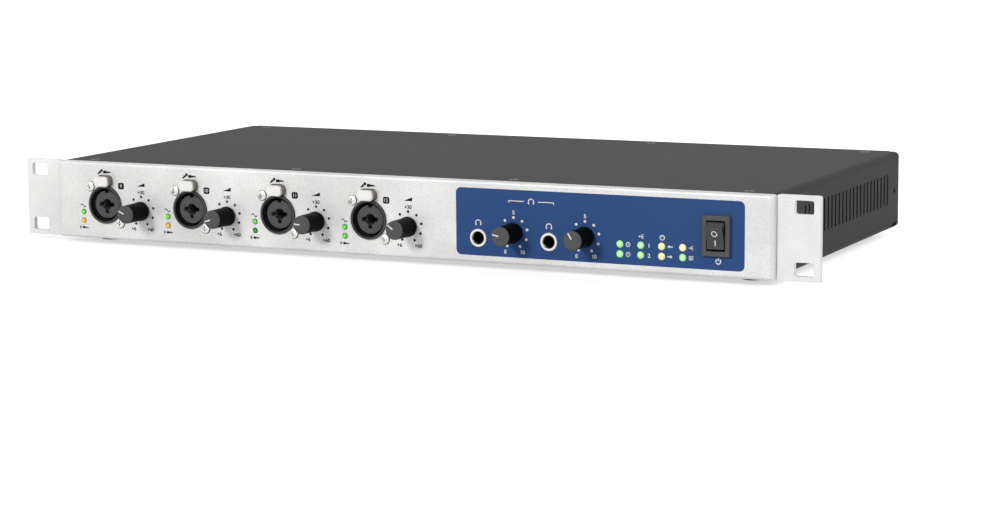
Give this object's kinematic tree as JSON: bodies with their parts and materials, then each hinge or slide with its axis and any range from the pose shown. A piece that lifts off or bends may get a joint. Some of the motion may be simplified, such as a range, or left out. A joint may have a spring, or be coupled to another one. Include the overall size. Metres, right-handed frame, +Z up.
{
  "type": "rack audio interface",
  "caption": "Low, wide rack audio interface with combination sockets, knobs and lamps on a silver front and line, digital, optical and mains sockets at the back.",
  "frame": {"origin": "centre of the base, on the plane of the feet", "axes": "+X across the front to the right as seen from the front, +Y from the front panel to the rear panel, +Z up"},
  "size_m": [0.4826, 0.258, 0.0475],
  "materials": {
    "silver_panel": "bead-blasted and clear anodised",
    "dark_cover": "fine matt powder coat",
    "dark_sheet": "fine matt powder coat",
    "foot_rubber": "matt",
    "black_screw": "black zinc",
    "nickel": "nickel plate",
    "black_plastic": "moulded, fine texture",
    "grey_plastic": "moulded, fine texture",
    "contact_brass": "bright",
    "pot_body": "moulded",
    "lamp_green": "tinted lens",
    "lamp_pale": "tinted lens",
    "lamp_blue": "tinted lens",
    "white_shell": "moulded",
    "knob_plastic": "soft matt moulding",
    "circuit_board": "solder mask",
    "coil_wrap": "tape-wound",
    "capacitor_sleeve": "shrink sleeve",
    "ribbon": "flat ribbon"
  },
  "bodies": {
    "case": {"front_panel": "silver_panel", "top_cover": "dark_cover", "bottom_tray": "dark_sheet", "left_side_panel": "dark_sheet", "right_side_panel": "dark_sheet", "rear_panel": "dark_sheet", "left_rack_ear": "silver_panel", "right_rack_ear": "silver_panel", "rubber_feet": "foot_rubber", "cover_screws": "black_screw", "ear_screws": "nickel", "front_connector_screws": "nickel", "rear_connector_screws": "black_screw", "mic_socket_housings": "black_plastic", "mic_socket_inserts": "grey_plastic", "mic_socket_contacts": "contact_brass", "jack_rings": "nickel", "jack_bodies": "black_plastic", "gain_pots": "pot_body", "volume_pots": "pot_body", "channel_leds": "lamp_green", "state_leds": "lamp_pale", "power_switch_housing": "black_plastic", "mains_inlet": "grey_plastic", "mains_pins": "nickel", "cord_loop": "nickel", "midi_sockets": "grey_plastic", "mode_switch": "black_plastic", "usb_b_socket": "white_shell", "usb_a_socket": "nickel", "optical_housings": "grey_plastic", "coax_sockets": "nickel", "coax_inserts": "white_shell", "digital_out_shell": "black_plastic", "digital_out_pins": "contact_brass", "digital_in_socket": "black_plastic", "main_board": "circuit_board", "power_board": "circuit_board", "transformer": "coil_wrap", "capacitors": "capacitor_sleeve", "front_board": "circuit_board", "ribbon_cable": "ribbon", "standoffs_and_screws": "contact_brass"},
    "socket_latch_1": {"socket_latch_1": "nickel"},
    "socket_latch_2": {"socket_latch_2": "nickel"},
    "socket_latch_3": {"socket_latch_3": "nickel"},
    "socket_latch_4": {"socket_latch_4": "nickel"},
    "gain_knob_1": {"gain_knob_1": "knob_plastic"},
    "gain_knob_2": {"gain_knob_2": "knob_plastic"},
    "gain_knob_3": {"gain_knob_3": "knob_plastic"},
    "gain_knob_4": {"gain_knob_4": "knob_plastic"},
    "volume_knob_1": {"volume_knob_1": "knob_plastic"},
    "volume_knob_2": {"volume_knob_2": "knob_plastic"},
    "power_rocker": {"power_rocker": "black_plastic"},
    "mode_button": {"mode_button": "lamp_blue"},
    "optical_flap_1": {"optical_flap_1": "grey_plastic"},
    "optical_flap_2": {"optical_flap_2": "grey_plastic"},
    "optical_flap_3": {"optical_flap_3": "grey_plastic"},
    "optical_flap_4": {"optical_flap_4": "grey_plastic"},
    "digital_in_latch": {"digital_in_latch": "nickel"}
  },
  "joints": [
    {"name": "socket_latch_1_push", "type": "slide", "parent": "case", "child": "socket_latch_1", "axis": [0, 1, 0], "range_m": [0, 0.0015], "stiffness_N_per_m": 800},
    {"name": "socket_latch_2_push", "type": "slide", "parent": "case", "child": "socket_latch_2", "axis": [0, 1, 0], "range_m": [0, 0.0015], "stiffness_N_per_m": 800},
    {"name": "socket_latch_3_push", "type": "slide", "parent": "case", "child": "socket_latch_3", "axis": [0, 1, 0], "range_m": [0, 0.0015], "stiffness_N_per_m": 800},
    {"name": "socket_latch_4_push", "type": "slide", "parent": "case", "child": "socket_latch_4", "axis": [0, 1, 0], "range_m": [0, 0.0015], "stiffness_N_per_m": 800},
    {"name": "gain_knob_1_turn", "type": "hinge", "parent": "case", "child": "gain_knob_1", "pos_m": [-0.1612, -0.12, 0.0207], "axis": [0, 1, 0], "range_deg": [-85.7, 219.3]},
    {"name": "gain_knob_2_turn", "type": "hinge", "parent": "case", "child": "gain_knob_2", "pos_m": [-0.1043, -0.12, 0.0207], "axis": [0, 1, 0], "range_deg": [-47.7, 257.3]},
    {"name": "gain_knob_3_turn", "type": "hinge", "parent": "case", "child": "gain_knob_3", "pos_m": [-0.0474, -0.12, 0.0207], "axis": [0, 1, 0], "range_deg": [-67.1, 237.9]},
    {"name": "gain_knob_4_turn", "type": "hinge", "parent": "case", "child": "gain_knob_4", "pos_m": [0.0095, -0.12, 0.0207], "axis": [0, 1, 0], "range_deg": [-98.1, 206.9]},
    {"name": "volume_knob_1_turn", "type": "hinge", "parent": "case", "child": "volume_knob_1", "pos_m": [0.0723, -0.12, 0.0207], "axis": [0, 1, 0], "range_deg": [-74.1, 230.9]},
    {"name": "volume_knob_2_turn", "type": "hinge", "parent": "case", "child": "volume_knob_2", "pos_m": [0.1136, -0.12, 0.0207], "axis": [0, 1, 0], "range_deg": [-121.7, 183.3]},
    {"name": "power_rocker_rock", "type": "hinge", "parent": "case", "child": "power_rocker", "pos_m": [0.1871, -0.1113, 0.0252], "axis": [1, 0, 0], "range_deg": [-33, 0]},
    {"name": "mode_button_push", "type": "slide", "parent": "case", "child": "mode_button", "axis": [0, -1, 0], "range_m": [0, 0.0006], "stiffness_N_per_m": 800},
    {"name": "optical_flap_1_swing", "type": "hinge", "parent": "case", "child": "optical_flap_1", "pos_m": [0.07875, 0.1012, 0.0379], "axis": [-1, 0, 0], "range_deg": [0, 80], "stiffness_Nm_per_rad": 0.0004},
    {"name": "optical_flap_2_swing", "type": "hinge", "parent": "case", "child": "optical_flap_2", "pos_m": [0.06535, 0.1012, 0.0379], "axis": [-1, 0, 0], "range_deg": [0, 80], "stiffness_Nm_per_rad": 0.0004},
    {"name": "optical_flap_3_swing", "type": "hinge", "parent": "case", "child": "optical_flap_3", "pos_m": [0.05195, 0.1012, 0.0379], "axis": [-1, 0, 0], "range_deg": [0, 80], "stiffness_Nm_per_rad": 0.0004},
    {"name": "optical_flap_4_swing", "type": "hinge", "parent": "case", "child": "optical_flap_4", "pos_m": [0.03855, 0.1012, 0.0379], "axis": [-1, 0, 0], "range_deg": [0, 80], "stiffness_Nm_per_rad": 0.0004},
    {"name": "digital_in_latch_push", "type": "slide", "parent": "case", "child": "digital_in_latch", "axis": [0, -1, 0], "range_m": [0, 0.0015], "stiffness_N_per_m": 800}
  ]
}
